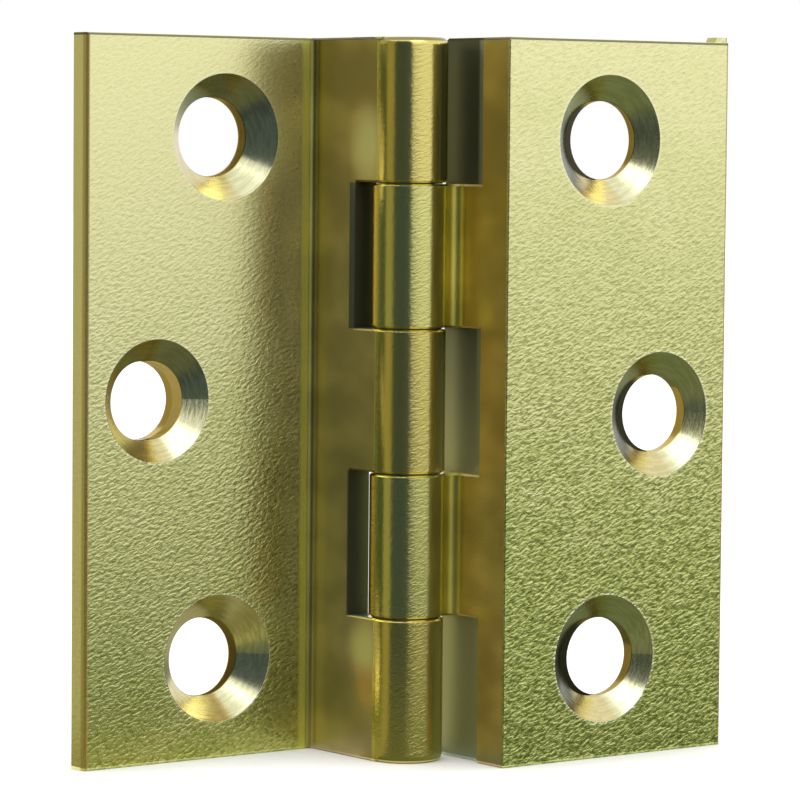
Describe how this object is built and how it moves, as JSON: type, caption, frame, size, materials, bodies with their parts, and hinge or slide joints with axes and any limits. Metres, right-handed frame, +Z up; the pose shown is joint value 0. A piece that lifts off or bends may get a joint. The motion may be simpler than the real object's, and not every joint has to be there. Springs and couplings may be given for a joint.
{
  "type": "cranked butt hinge",
  "caption": "Brass butt hinge with necked leaves that nest when closed, a knuckled barrel on a flush pin, and countersunk screw holes in both leaves.",
  "frame": {"origin": "on the pin axis at the lower end of the barrel", "axes": "+Z up along the pin, X along the leaves, the inner leaf reaching to +X, +Y out of the seating faces of both plates"},
  "size_m": [0.0443, 0.0167, 0.0504],
  "materials": {
    "brass_outer": "drawn brass with a fine pebbled skin",
    "brass_inner": "drawn brass with a fine pebbled skin",
    "pin_steel": "bright turned steel"
  },
  "bodies": {
    "outer_leaf": {"outer_leaf": "brass_outer", "hinge_pin": "pin_steel"},
    "inner_leaf": {"inner_leaf": "brass_inner"}
  },
  "joints": [
    {"name": "leaf_swing", "type": "hinge", "parent": "outer_leaf", "child": "inner_leaf", "pos_m": [0, 0, 0.025], "axis": [0, 0, 1], "range_deg": [-180, 75]}
  ]
}
